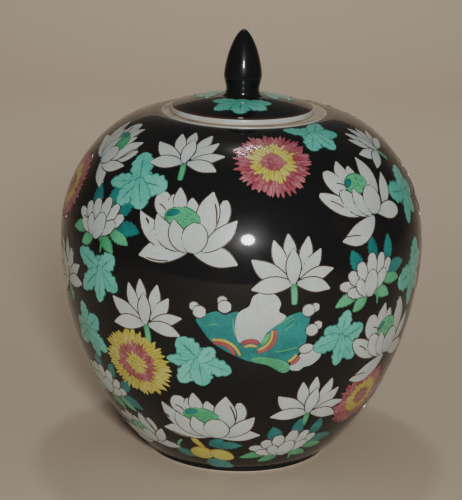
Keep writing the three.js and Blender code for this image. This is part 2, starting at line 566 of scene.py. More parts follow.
@dataclass(frozen=True)
class Place:
    """Where a motif is painted.

    Attributes:
        azimuth: Degrees round from the front, positive towards +X.
        rise: Millimetres up the wall from the belly, or out from the lid's axis on the lid.
        turn: Degrees anticlockwise, as seen from outside.
        size: Scale of the motif.
        flip: True for a motif painted the other way round.
    """

    azimuth: float
    rise: float
    turn: float = 0.0
    size: float = 1.0
    flip: bool = False

    def laid(self, x: float, y: float) -> Point:
        """Turns, scales and flips a point of the motif."""
        angle = math.radians(self.turn)
        x = (-x if self.flip else x) * self.size
        y = y * self.size
        return (x * math.cos(angle) - y * math.sin(angle), x * math.sin(angle) + y * math.cos(angle))


class Wall:
    """The jar's outer wall, measured along its outline up from the belly."""

    step = 0.5

    def __init__(self, outline: list[Point], belly_height: float) -> None:
        """Measures the outline.

        Args:
            outline: Radius and height of the wall's points, from the foot up, in millimetres.
            belly_height: Height of the widest point, where the distance is 0.
        """
        lengths = [0.0]
        for (r0, z0), (r1, z1) in zip(outline, outline[1:]):
            lengths.append(lengths[-1] + math.hypot(r1 - r0, z1 - z0))
        belly = next(length for length, (_, z) in zip(lengths, outline) if z >= belly_height)
        self.lowest = -belly
        self.table = []
        count = int(lengths[-1] / self.step)
        index = 0
        for mark in range(count + 1):
            target = mark * self.step
            while index < len(lengths) - 2 and lengths[index + 1] < target:
                index += 1
            share = (target - lengths[index]) / (lengths[index + 1] - lengths[index])
            (r0, z0), (r1, z1) = outline[index], outline[index + 1]
            self.table.append((r0 + (r1 - r0) * share, z0 + (z1 - z0) * share))

    def at(self, rise: float) -> tuple[float, float, float, float]:
        """Radius, height and outward direction (across, up) at a distance up the wall."""
        place = min(max((rise - self.lowest) / self.step, 1.0), len(self.table) - 2.001)
        index = int(place)
        share = place - index
        (r0, z0), (r1, z1) = self.table[index], self.table[index + 1]
        (rb, zb), (ra, za) = self.table[index - 1], self.table[min(index + 2, len(self.table) - 1)]
        length = math.hypot(ra - rb, za - zb)
        return r0 + (r1 - r0) * share, z0 + (z1 - z0) * share, (za - zb) / length, -(ra - rb) / length

    def point(self, place: Place, x: float, y: float, height: float) -> Vector:
        """A motif's point on the wall.

        Args:
            place: Where the motif is.
            x: Millimetres to the right of its middle.
            y: Millimetres above its middle.
            height: Millimetres proud of the glaze.

        Returns:
            The point, in metres.
        """
        x, y = place.laid(x, y)
        radius, level, out, up = self.at(place.rise + y)
        angle = math.radians(place.azimuth) + x / radius
        reach = radius + out * height
        return Vector((reach * math.sin(angle), -reach * math.cos(angle), level + up * height)) * MM


@dataclass(frozen=True)
class LidTop:
    """The lid's domed top, laid out as seen from above."""

    middle: float
    edge_radius: float
    edge_height: float
    pad_height: float
    power: float = 2.0

    def height_at(self, radius: float) -> float:
        """Height of the dome at a distance from the lid's axis."""
        fall = min(radius / self.edge_radius, 1.0) ** self.power
        return self.edge_height + (self.pad_height - self.edge_height) * (1 - fall)

    def point(self, place: Place, x: float, y: float, height: float) -> Vector:
        """A motif's point on the lid, as Wall.point gives it on the wall."""
        x, y = place.laid(x, y)
        out = place.rise - y
        angle = math.radians(place.azimuth)
        across = x * math.cos(angle) + out * math.sin(angle)
        along = x * math.sin(angle) - out * math.cos(angle)
        level = self.height_at(math.hypot(across, along)) + height
        return Vector((across + self.middle, along, level)) * MM


# ---------------------------------------------------------------- enamel strokes


@dataclass(frozen=True)
class StrokeShape:
    """How a stroke's width runs from its root to its tip.

    Attributes:
        widest: Where it is widest, from 0 at the root to 1 at the tip.
        root: Power that rounds the root; a small one is blunt.
        tip: Power that rounds the tip; a large one is pointed.
        scallops: Number of scallops along its sides.
        ragged: How deep they are, as a share of its width.
    """

    widest: float
    root: float
    tip: float
    scallops: int = 0
    ragged: float = 0.0

    def half_width(self, t: float) -> float:
        """Share of the stroke's half width at t, which is 0 at the root and 1 at the tip."""
        if t <= 0.0 or t >= 1.0:
            return 0.0
        bulge = math.log(0.5) / math.log(self.widest)
        power = self.root + (self.tip - self.root) * t
        width = math.sin(math.pi * t**bulge) ** power
        return width * (1 + self.ragged * (2 * abs(math.sin(math.pi * self.scallops * t)) - 1))


class Stroke(Enum):
    """The brush strokes that the motifs are made of."""

    POINTED = StrokeShape(0.5, 0.55, 0.92)
    ROUND = StrokeShape(0.5, 0.5, 0.5)
    FULL = StrokeShape(0.58, 0.6, 0.5)
    LOBE = StrokeShape(0.6, 0.4, 0.7, 5, 0.12)
    RAY = StrokeShape(0.5, 0.35, 0.8)
    FRILL = StrokeShape(0.6, 0.6, 0.45, 4, 0.06)
    BAND = StrokeShape(0.5, 0.14, 0.14)
    BLADE = StrokeShape(0.45, 0.45, 0.85, 6, 0.1)


class Coat:
    """One piece of raised enamel: strokes of one colour, laid onto the porcelain.

    A stroke is 0.2 mm proud of the glaze, a little more where it lies over others, and is sunk into
    the glaze below. Its outermost faces are its outline, drawn in a darker colour.
    """

    edge = 0.13
    crown = 0.19
    layer_step = 0.045
    sunk = 0.25
    rim = 0.8
    weld = 2e-6
    brush_long = 45.0
    brush_wide = 14.0

    def __init__(self, name: str, finish: Enamel, surface: Wall | LidTop, body: str) -> None:
        """Starts an empty coat.

        Args:
            name: The piece's name.
            finish: Its enamel.
            surface: What it is laid on.
            body: The body that it rides on.
        """
        self.name = name
        self.finish = finish
        self.surface = surface
        self.body = body
        self.form = bmesh.new()
        self.stroke_map = self.form.loops.layers.uv.new("stroke")
        self.tone_map = self.form.loops.layers.float_color.new("tone")
        self.luck = random.Random(name)

    def stroke(
        self,
        place: Place,
        root: Point,
        tip: Point,
        width: float,
        shape: Stroke = Stroke.POINTED,
        bend: float = 0.0,
        layer: float = 0.0,
        rows: int = 12,
        columns: int = 6,
    ) -> None:
        """Lays one stroke, as a low domed patch with a thin outline.

        Args:
            place: Where the motif is.
            root: Where the stroke starts, in the motif's millimetres.
            tip: Where it ends.
            width: Its greatest width.
            shape: How the width runs.
            bend: How far the middle is pushed to the left of the line from root to tip.
            layer: Number of strokes that this one lies over.
            rows: Faces along the stroke.
            columns: Faces across it.
        """
        start, end = Vector(root), Vector(tip)
        along = end - start
        middle = start + along / 2 + Vector((-along.y, along.x)).normalized() * bend * 2
        rim = self.rim / place.size
        rim_share = min(rim / along.length, 0.2)
        shade = self.luck.random()
        lower = bmesh.ops.create_grid(self.form, x_segments=rows, y_segments=columns, size=1.0)["verts"]
        patch = list({face for vert in lower for face in vert.link_faces})
        raised = bmesh.ops.extrude_face_region(self.form, geom=patch)["geom"]
        upper = {part for part in raised if isinstance(part, bmesh.types.BMVert)}
        marks = {}
        for vert in (*lower, *upper):
            row, column = round((vert.co.x + 1) / 2 * rows), round((vert.co.y + 1) / 2 * columns)
            t = row / rows
            if row not in (0, rows):
                t = 0.5 - 0.5 * math.cos(math.pi * (row - 1) / (rows - 2))
                t = rim_share + (1 - 2 * rim_share) * t
            half = shape.value.half_width(t) * width / 2
            across = column / columns * 2 - 1
            if column not in (0, columns):
                inner = max(1 - rim / half, 0.7) if half > 0 else 0.7
                across = inner * (column - columns / 2) / (columns / 2 - 1)
            is_rim = row in (0, rows) or column in (0, columns)
            marks[vert] = (t, across, is_rim)
            spot = start * (1 - t) ** 2 + middle * 2 * t * (1 - t) + end * t * t
            heading = ((middle - start) * (1 - t) + (end - middle) * t).normalized()
            spot += Vector((-heading.y, heading.x)) * across * half
            height = -self.sunk
            if vert in upper:
                dome = (1 - abs(across) ** 3) * math.sin(math.pi * min(max(t, 0.001), 0.999)) ** 0.35
                height = self.edge + (self.crown - self.edge) * dome + layer * self.layer_step
            vert.co = self.surface.point(place, spot.x, spot.y, height)
        for face in {face for vert in marks for face in vert.link_faces}:
            on_rim = float(any(marks[vert][2] for vert in face.verts))
            for loop in face.loops:
                t, across, _ = marks[loop.vert]
                loop[self.stroke_map].uv = (t, across / 2 + 0.5)
                loop[self.tone_map] = (on_rim, shade, t, 1.0)
        bmesh.ops.remove_doubles(self.form, verts=list(marks), dist=self.weld)

    def panel(self, place: Place, corners: list[Point], layer: float = 0.0, cell: float = 4.0) -> None:
        """Lays a filled shape with a thin outline.

        Args:
            place: Where the motif is.
            corners: Points that the shape's smooth edge runs through, in order.
            layer: Number of strokes that this one lies over.
            cell: Size of the faces that bend it round the wall.
        """
        form = bmesh.new()
        stroke_map = form.loops.layers.uv.new("stroke")
        tone_map = form.loops.layers.float_color.new("tone")
        edge_points = smooth_loop(corners, 5)
        low = [min(point[axis] for point in edge_points) for axis in (0, 1)]
        high = [max(point[axis] for point in edge_points) for axis in (0, 1)]
        face = form.faces.new([form.verts.new((x, y, 0)) for x, y in edge_points])
        outline = bmesh.ops.inset_region(form, faces=[face], thickness=self.rim, use_boundary=True)["faces"]
        for vert in face.verts:
            vert.co.z = self.crown - self.edge
        shade = self.luck.random()
        for each in form.faces:
            for loop in each.loops:
                loop[tone_map] = (float(each in outline), shade, 0.5, 1.0)
        for axis in (0, 1):
            for number in range(1, math.ceil((high[axis] - low[axis]) / cell)):
                cut = Vector((0, 0, 0))
                cut[axis] = low[axis] + number * cell
                normal = Vector((1 - axis, axis, 0))
                everything = form.verts[:] + form.edges[:] + form.faces[:]
                bmesh.ops.bisect_plane(form, geom=everything, plane_co=cut, plane_no=normal)
        for each in form.faces:
            for loop in each.loops:
                x, y = loop.vert.co.xy
                loop[stroke_map].uv = ((y - low[1]) / self.brush_long, (x - low[0]) / self.brush_wide)
        raised = bmesh.ops.extrude_face_region(form, geom=form.faces[:])["geom"]
        upper = {part for part in raised if isinstance(part, bmesh.types.BMVert)}
        for vert in form.verts:
            height = self.edge + vert.co.z + layer * self.layer_step if vert in upper else -self.sunk
            vert.co = self.surface.point(place, vert.co.x, vert.co.y, height)
        patch = bpy.data.meshes.new(self.name + "_panel")
        form.to_mesh(patch)
        form.free()
        self.form.from_mesh(patch)
        bpy.data.meshes.remove(patch)

    def finish_piece(self, palette: Palette) -> bpy.types.Object:
        """Makes the piece.

        Args:
            palette: Where the material comes from.

        Returns:
            The finished piece, riding on its body.
        """
        bmesh.ops.recalc_face_normals(self.form, faces=self.form.faces)
        mesh = bpy.data.meshes.new(self.name)
        self.form.to_mesh(mesh)
        self.form.free()
        piece = dressed(mesh, [palette.of(self.finish)], 55)
        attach(piece, self.body)
        LOG.info("%s: %d faces on %s", self.name, len(mesh.polygons), self.body)
        return piece


# ---------------------------------------------------------------- the motifs


class CoatShelf:
    """The coats being painted: each motif's own, and those that motifs on one side share."""

    def __init__(self, palette: Palette, surface: Wall | LidTop, body: str) -> None:
        """Starts with no coats."""
        self.palette = palette
        self.surface = surface
        self.body = body
        self.side = "front"
        self.coats: dict[str, Coat] = {}

    def own(self, name: str, finish: Enamel) -> Coat:
        """A motif's own coat, begun the first time that it is asked for."""
        if name not in self.coats:
            self.coats[name] = Coat(name, finish, self.surface, self.body)
        return self.coats[name]

    def shared(self, name: str, finish: Enamel) -> Coat:
        """A coat that every such motif on this side of the jar shares."""
        return self.own(f"{name}_{self.side}", finish)

    def finish_all(self) -> None:
        """Makes a piece of every coat."""
        for coat in self.coats.values():
            coat.finish_piece(self.palette)


PetalPlan = tuple[Point, Point, float, float, Stroke]


def paint_petals(coat: Coat, place: Place, plans: tuple[PetalPlan, ...], layer: float, step: float) -> None:
    """Lays a fan of petals, each over the one before.

    Args:
        coat: Where they are laid.
        place: Where the motif is.
        plans: Root, tip, width, bend and stroke of each.
        layer: Layer of the first.
        step: Layers from one to the next.
    """
    for index, (root, tip, width, bend, shape) in enumerate(plans):
        rows = 30 if shape.value.scallops else 14
        coat.stroke(place, root, tip, width, shape, bend, layer + index * step, rows=rows, columns=6)


class Motif:
    """A painted motif: it lays its strokes into coats of the right colours."""

    def paint(self, coats: CoatShelf, name: str, place: Place) -> None:
        """Paints the motif at a place, under a name for its own pieces."""
        raise NotImplementedError


@dataclass(frozen=True)
class SeedPod:
    """The green heart of an open lotus, with a shaded side and a few seeds."""

    left: Point
    right: Point
    width: float
    bend: float
    seed: float = 2.6

    def paint(self, coats: CoatShelf, place: Place, layer: float) -> None:
        """Paints the pod between the back and the front petals."""
        pod = coats.shared("lotus_pods", coats.palette.green)
        pod.stroke(place, self.left, self.right, self.width, Stroke.ROUND, self.bend, layer)
        start, end = Vector(self.left), Vector(self.right)
        along = end - start
        side = Vector((-along.y, along.x)).normalized()
        shaded = coats.shared("lotus_pod_shades", coats.palette.teal)
        corner = start + along * 0.06 + side * 1.5
        shaded.stroke(
            place, corner, start + along * 0.4 + side * 5.8, 4.4, Stroke.ROUND, 0.8, layer + 1, rows=8
        )
        seeds = coats.shared("lotus_seeds", coats.palette.green)
        heart = start + along / 2 + side * self.bend
        for share, rise in ((0.12, 3.2), (-0.1, -0.4), (0.28, 0.4), (0.08, -1.2), (0.2, -4.0)):
            spot = heart + along * share + side * rise
            reach = side * self.seed / 2
            seeds.stroke(
                place, spot - reach, spot + reach, self.seed, Stroke.ROUND, 0, layer + 1, rows=6, columns=4
            )


@dataclass(frozen=True)
class OpenLotus(Motif):
    """A lotus seen open from the front, with its seed pod showing.

    Attributes:
        droop: Millimetres that the tips of the two lowest petals hang down.
    """

    droop: float = 5.0
    pod: SeedPod = SeedPod((-20, 20), (5, 17), 16, 2.0)
    back: tuple[PetalPlan, ...] = (
        ((13, 12), (18, 35), 10, -2.6, Stroke.FULL),
        ((-18, 18), (-23, 37), 14, 1.0, Stroke.FULL),
        ((-14, 22), (-16, 36), 9, 0.0, Stroke.POINTED),
        ((-1, 20), (-3, 35), 10, 0.0, Stroke.POINTED),
        ((-8, 20), (-12, 41), 10.5, 0.5, Stroke.POINTED),
        ((9, 8), (10, 40), 16, 0.8, Stroke.POINTED),
    )
    front: tuple[PetalPlan, ...] = (
        ((-9, 2), (-38, 22), 14, 3.2, Stroke.POINTED),
        ((-6, 1), (-25, 22), 14, 3.0, Stroke.POINTED),
        ((7, 1), (28, 22), 12, -1.2, Stroke.POINTED),
        ((-1, 0), (-13, 20), 12.5, 2.4, Stroke.POINTED),
        ((1, -1), (3, 19), 18, 0.0, Stroke.ROUND),
    )
    folds: tuple[PetalPlan, ...] = (
        ((12, 32), (15, 18), 1.1, 0.8, Stroke.BAND),
        ((-33, 18), (-30, 14), 1.6, 0.4, Stroke.ROUND),
        ((-25, 28), (-19, 24), 0.8, 0.9, Stroke.BAND),
    )

    def paint(self, coats: CoatShelf, name: str, place: Place) -> None:
        """Paints back petals, pod, front petals and fold lines."""
        white = coats.own(name + "_petals", coats.palette.white)
        low = (
            ((-1, 1), (-36, -self.droop), 16, -1.6, Stroke.POINTED),
            ((1, 1), (31, -self.droop), 14, 1.4, Stroke.POINTED),
        )
        crease = ((-30, -1.5 - 0.8 * self.droop), (-14, -4.5 - 0.35 * self.droop), 0.9, -0.8, Stroke.BAND)
        paint_petals(white, place, self.back, 0.0, 0.6)
        self.pod.paint(coats, place, 3.6)
        paint_petals(white, place, low, 4.4, 0.0)
        paint_petals(white, place, self.front, 5.0, 0.9)
        folds = coats.shared("lotus_folds", coats.palette.sepia)
        paint_petals(folds, place, (crease, *self.folds), 7.0, 0.0)


@dataclass(frozen=True)
class LeaningLotus(Motif):
    """An open lotus that leans, with tall petals on one side and one wide petal hanging."""

    pod: SeedPod = SeedPod((-13, 18), (7, 21), 15, 2.0)
    back: tuple[PetalPlan, ...] = (
        ((15, 3), (27, 25), 11, -1.4, Stroke.POINTED),
        ((-5, 20), (-2, 35), 10, 0.4, Stroke.POINTED),
        ((-12, 18), (-9, 40), 11, 0.6, Stroke.POINTED),
        ((-14, 12), (-22, 34), 14, 1.2, Stroke.FULL),
        ((10, 8), (9, 40), 14, -1.4, Stroke.POINTED),
    )
    front: tuple[PetalPlan, ...] = (
        ((3, -1), (-28, -14), 15, 3.4, Stroke.POINTED),
        ((6, 0), (31, -3), 13, 1.2, Stroke.FULL),
        ((-4, 0), (-35, 18), 13, 1.6, Stroke.FULL),
        ((-2, -1), (-18, 19), 13, 2.0, Stroke.FULL),
        ((1, -1), (-8, 19), 11, 2.2, Stroke.POINTED),
        ((4, -1), (7, 19), 17, 0.0, Stroke.ROUND),
    )
    folds: tuple[PetalPlan, ...] = (
        ((-29, 13), (-20, 7), 0.9, 0.6, Stroke.BAND),
        ((-19, 24), (-11, 20), 0.8, 0.8, Stroke.BAND),
        ((-25, -11.5), (-12, -12), 0.8, 0.4, Stroke.BAND),
    )

    def paint(self, coats: CoatShelf, name: str, place: Place) -> None:
        """Paints back petals, pod, front petals and fold lines."""
        white = coats.own(name + "_petals", coats.palette.white)
        paint_petals(white, place, self.back, 0.0, 0.6)
        self.pod.paint(coats, place, 3.2)
        paint_petals(white, place, self.front, 4.6, 0.9)
        paint_petals(coats.shared("lotus_folds", coats.palette.sepia), place, self.folds, 8.0, 0.0)


@dataclass(frozen=True)
class SideLotus(Motif):
    """A lotus seen from the side, on a short cut stem."""

    petals: tuple[PetalPlan, ...] = (
        ((-2, 10), (-4, 31), 9, 0.0, Stroke.POINTED),
        ((-5, 5), (-13, 27), 9.5, 0.6, Stroke.POINTED),
        ((4, 7), (9, 29), 9.5, -0.4, Stroke.POINTED),
        ((3, 3), (17, 21), 10, -1.0, Stroke.POINTED),
        ((-3, 2), (-27, 15), 12.5, 1.8, Stroke.POINTED),
        ((3, 1), (26, 8), 9.5, 0.8, Stroke.POINTED),
        ((-1, 0), (-27, -4), 11.5, -1.2, Stroke.POINTED),
        ((1, 0), (24, -5), 10.5, 1.4, Stroke.POINTED),
        ((-1, -1), (-1, 22), 10.5, 0.0, Stroke.POINTED),
    )

    def paint(self, coats: CoatShelf, name: str, place: Place) -> None:
        """Paints the stem and the fan of petals."""
        stems = coats.shared("lotus_stems", coats.palette.green)
        stems.stroke(place, (-1, 1), (0.5, -14), 4.6, Stroke.BAND, 0.5, 0.0, rows=8, columns=4)
        paint_petals(coats.own(name + "_petals", coats.palette.white), place, self.petals, 1.0, 0.7)


@dataclass(frozen=True)
class Chrysanthemum(Motif):
    """A round flower of many narrow rays, in three zones of two colours.

    Attributes:
        yellow_outside: True if the outer zone and the heart are yellow, False if they are rose.
        radius: Length of the longest rays, from the heart.
        rays: Inner and outer end of each row as shares of the radius, its number, and whether its colour is
            the outside one.
    """

    yellow_outside: bool = False
    radius: float = 26.0
    rays: tuple[tuple[float, float, int, bool], ...] = (
        (0.60, 1.0, 60, True),
        (0.55, 0.90, 56, True),
        (0.45, 0.76, 48, True),
        (0.33, 0.63, 40, False),
        (0.24, 0.52, 30, False),
        (0.10, 0.34, 22, True),
        (0.00, 0.20, 12, True),
    )

    def paint(self, coats: CoatShelf, name: str, place: Place) -> None:
        """Paints a thin ground, then the rays row by row, from the outside in."""
        rose = coats.own(name + "_rose_rays", coats.palette.rose)
        yellow = coats.own(name + "_yellow_rays", coats.palette.yellow)
        ground = self.radius * 0.86
        under = yellow if self.yellow_outside else rose
        under.stroke(place, (-ground, 0), (ground, 0), 2 * ground, Stroke.ROUND, rows=24, columns=20)
        for number, (inner, outer, count, is_outside) in enumerate(self.rays):
            coat = yellow if is_outside is self.yellow_outside else rose
            width = 2 * math.pi * self.radius * (inner + outer) / 2 / count * 1.3
            for ray in range(count):
                angle = 2 * math.pi * (ray + coat.luck.uniform(-0.3, 0.3)) / count
                far = self.radius * (outer + coat.luck.uniform(-0.1, 0.05))
                lean = angle + coat.luck.uniform(-0.06, 0.06)
                root = Vector((math.cos(angle), math.sin(angle))) * self.radius * inner
                tip = Vector((math.cos(lean), math.sin(lean))) * far
                layer = 1 + number * 1.2 + (ray % 2) * 0.6
                coat.stroke(place, root, tip, width, Stroke.RAY, 0.0, layer, rows=6, columns=4)


@dataclass(frozen=True)
class LobedLeaf(Motif):
    """A spread leaf of rounded lobes with dark veins.

    Attributes:
        lobes: Heading in degrees, length and width of each lobe, the lowest-lying first.
        heart: Radius of the round part that the lobes leave.
    """

    lobes: tuple[tuple[float, float, float], ...] = (
        (192, 26, 11),
        (112, 23, 17),
        (355, 22, 15),
        (238, 22, 13),
        (298, 20, 15),
    )
    heart: float = 10.0

    def paint(self, coats: CoatShelf, name: str, place: Place) -> None:
        """Paints the lobes out from the leaf's heart."""
        leaf = coats.own(name, coats.palette.mint)
        leaf.stroke(place, (-self.heart, 0), (self.heart, 0), 2 * self.heart, Stroke.ROUND)
        for index, (heading, length, width) in enumerate(self.lobes):
            angle = math.radians(heading)
            tip = Vector((math.cos(angle), math.sin(angle))) * length
            bend = leaf.luck.uniform(-0.9, 0.9)
            leaf.stroke(
                place, tip * -0.16, tip, width, Stroke.LOBE, bend, 1 + index * 0.8, rows=30, columns=8
            )


@dataclass(frozen=True)
class Peony(Motif):
    """A cluster of rounded white petals between teal leaves above and green leaves below."""

    petals: tuple[PetalPlan, ...] = (
        ((-4, -5), (-25, 2), 9, -0.8, Stroke.FRILL),
        ((8, -4), (21, 11), 9, 0.6, Stroke.FRILL),
        ((-4, -3), (-17, 10), 9.5, 0.5, Stroke.FRILL),
        ((5, -2), (13, 17), 9, -0.5, Stroke.FRILL),
        ((-2, -2), (-8, 15), 10, 0.3, Stroke.FRILL),
        ((2, -2), (3, 19), 10, 0.0, Stroke.FRILL),
        ((-4, -9), (-19, -3), 8.5, -0.5, Stroke.FRILL),
        ((4, -8), (16, 5), 9.5, 0.5, Stroke.FRILL),
        ((-3, -10), (-10, 4), 8.5, 0.5, Stroke.FRILL),
        ((0, -11), (3, 8), 13, 0.0, Stroke.ROUND),
    )
    teal_leaves: tuple[PetalPlan, ...] = (
        ((-6, 8), (-13, 24), 10, 1.0, Stroke.BLADE),
        ((6, 12), (5, 30), 8.5, 0.8, Stroke.BLADE),
        ((17, 9), (21, 27), 9, -0.8, Stroke.BLADE),
        ((17, 2), (37, 4), 10, 1.0, Stroke.BLADE),
    )
    green_leaves: tuple[PetalPlan, ...] = (
        ((-9, -6), (-28, -12), 9, -1.0, Stroke.BLADE),
        ((-3, -8), (-14, -18), 9, 0.6, Stroke.BLADE),
        ((4, -7), (20, -15), 9, 1.0, Stroke.BLADE),
        ((13, -2), (31, -6), 9, 1.0, Stroke.BLADE),
        ((7, -9), (8, -18), 1.6, 0.3, Stroke.BAND),
    )

    def paint(self, coats: CoatShelf, name: str, place: Place) -> None:
        """Paints the leaves first and the petals over them."""
        teal = coats.shared("peony_teal_leaves", coats.palette.teal)
        green = coats.shared("peony_green_leaves", coats.palette.green)
        paint_petals(teal, place, self.teal_leaves, 0.0, 0.5)
        paint_petals(green, place, self.green_leaves, 0.0, 0.5)
        paint_petals(coats.own(name + "_petals", coats.palette.white), place, self.petals, 3.0, 0.6)


@dataclass(frozen=True)
class Drapery(Motif):
    """A knotted shawl: two teal wings with striped hems round a blank white bundle.

    White tassel beads hang about it.
    """

    bead: float = 4.8
    cap: float = 3.6
    left_wing: tuple[Point, ...] = (
        (-36, 11),
        (-29, 15),
        (-23, 17),
        (-18, 15),
        (-9, 17),
        (-9, 4),
        (-6, -4),
        (-2, -8),
        (1, -18),
        (-12, -13),
        (-25, -5),
        (-33, 5),
    )
    knot: tuple[Point, ...] = ((-7, -4), (5, -4), (7, -10), (2, -18), (-4, -15))
    right_wing: tuple[Point, ...] = (
        (1, -15),
        (4, -8),
        (9, -3),
        (12, 8),
        (29, 16),
        (37, 13),
        (36, 3),
        (35, -6),
        (31, -13),
        (22, -19),
        (8, -17),
    )
    bundle: tuple[Point, ...] = (
        (-10, 15),
        (-11, 5),
        (-8, -4),
        (-1, -2),
        (5, -4),
        (10, 4),
        (21, 13),
        (16.5, 17.5),
        (17.5, 23),
        (14, 28.5),
        (7, 30.5),
        (0, 28),
        (-2.5, 21.5),
        (-7, 18.5),
    )
    tail: tuple[Point, ...] = (
        (25, -24),
        (31, -15),
        (41, -8),
        (46, -13),
        (46, -18),
        (40, -23),
        (35, -24),
        (31, -26.5),
    )
    trim: tuple[Point, ...] = (
        (0, -16),
        (5, -14.5),
        (13.5, -15.5),
        (23.5, -19.5),
        (25, -25.5),
        (20, -27),
        (11, -21),
        (2, -18.5),
    )
    beads: tuple[tuple[Point, Point], ...] = (
        ((-34, 16), (-37.5, 19.5)),
        ((-18, 20.5), (-19.5, 24.5)),
        ((36, 17), (40.5, 18.5)),
        ((39, 3), (43, 6)),
    )
    yellow_hems: tuple[PetalPlan, ...] = (
        ((-26, -3), (-7, -14), 2.1, 4.6, Stroke.BAND),
        ((-5.2, -7.6), (3.6, -7.3), 1.9, 1.5, Stroke.BAND),
        ((3, -9.5), (12.4, 5.4), 1.9, -3.8, Stroke.BAND),
        ((23.4, -19), (29.6, -13.3), 2.1, -0.8, Stroke.BAND),
    )
    rose_hems: tuple[PetalPlan, ...] = (
        ((-25, -5), (-10.5, -13.8), 2.9, 3.4, Stroke.BAND),
        ((-7, -5.4), (4.8, -4.6), 3.4, 2.2, Stroke.BAND),
        ((3, -11), (14.6, 5.4), 2.9, -4.9, Stroke.BAND),
        ((25.2, -21), (31.4, -15.3), 2.9, -1.0, Stroke.BAND),
    )
    pleats: tuple[PetalPlan, ...] = (
        ((16, 8), (27, 14.5), 0.9, 0.2, Stroke.BAND),
        ((19.5, 8), (28, 12.5), 0.8, 0.2, Stroke.BAND),
        ((20, 3), (27, 8.5), 0.8, 0.3, Stroke.BAND),
        ((-31, 6.5), (-21, 8.5), 0.8, 0.3, Stroke.BAND),
        ((-12.5, 14), (-10.5, 0), 0.9, -0.6, Stroke.BAND),
        ((14, -11), (30, -8), 0.8, -0.8, Stroke.BAND),
    )

    def paint(self, coats: CoatShelf, name: str, place: Place) -> None:
        """Paints the wings, then the bundle and beads, then the hems."""
        wings = coats.own(name + "_wings", coats.palette.teal)
        for layer, corners in enumerate((self.left_wing, self.right_wing, self.knot)):
            wings.panel(place, list(corners), layer)
        lining = coats.own(name + "_lining", coats.palette.green)
        lining.panel(place, list(self.trim), 3.0)
        lining.stroke(place, (5.5, -6), (11, 3.5), 4.2, Stroke.BLADE, -0.6, 4.0, rows=30)
        paint_petals(lining, place, self.pleats, 2.5, 0.0)
        bundle = coats.own(name + "_bundle", coats.palette.white)
        bundle.panel(place, list(self.tail), 2.0)
        bundle.panel(place, list(self.bundle), 4.0)
        bundle.stroke(place, (30.5, -11.5), (41, -9.5), 8, Stroke.ROUND, 0.5, 4.0)
        for ball, cap in self.beads:
            for (x, y), reach, layer in ((cap, self.cap, 4.0), (ball, self.bead, 6.0)):
                bundle.stroke(place, (x - reach, y), (x + reach, y), 2 * reach, Stroke.ROUND, 0, layer)
        yellow = coats.own(name + "_yellow_hems", coats.palette.yellow_wash)
        paint_petals(yellow, place, self.yellow_hems, 8, 0)
        paint_petals(coats.own(name + "_rose_hems", coats.palette.rose_wash), place, self.rose_hems, 7, 0)


@dataclass(frozen=True)
class Gourd(Motif):
    """A yellow double gourd among teal leaves."""

    def paint(self, coats: CoatShelf, name: str, place: Place) -> None:
        """Paints the leaves, the tendril and the gourd's two lobes and stalk."""
        leaves = coats.own(name + "_leaves", coats.palette.teal)
        for root, tip, width in (
            ((0, 5), (9, 15), 8),
            ((2, 6), (21, 8), 9),
            ((-6, -16), (12, -23), 15),
            ((-12, -10), (-27, -3), 9),
        ):
            leaves.stroke(place, root, tip, width, Stroke.BLADE, 0.8, rows=30)
        tendril = coats.own(name + "_tendril", coats.palette.green)
        tendril.stroke(place, (-22, -3), (-36, 5), 2.4, Stroke.BAND, 2.0)
        tendril.stroke(place, (-24, -2), (-20, 9), 2.4, Stroke.BAND, 1.6)
        gourd = coats.own(name + "_fruit", coats.palette.yellow_wash)
        gourd.stroke(place, (-4, 2), (-13, 15), 5, Stroke.FULL, 0.8, 2.0)
        gourd.stroke(place, (-16, -5), (1, -4), 16, Stroke.ROUND, 0.0, 3.0)
        gourd.stroke(place, (-2, -1), (13, -10), 14, Stroke.ROUND, 0.6, 4.0)


# ---------------------------------------------------------------- the jar


def dressed(mesh: bpy.types.Mesh, materials: list[bpy.types.Material], sharp_deg: float) -> bpy.types.Object:
    """Smooths a finished mesh, gives it its materials and puts it in the scene.

    Args:
        mesh: The mesh, in its place.
        materials: Its materials, in the order of its faces' numbers.
        sharp_deg: Edges turned by more than this stay sharp.

    Returns:
        The new object.
    """
    for material in materials:
        mesh.materials.append(material)
    mesh.shade_smooth()
    mesh.set_sharp_from_angle(angle=math.radians(sharp_deg))
    piece = bpy.data.objects.new(mesh.name, mesh)
    bpy.context.scene.collection.objects.link(piece)
    return piece


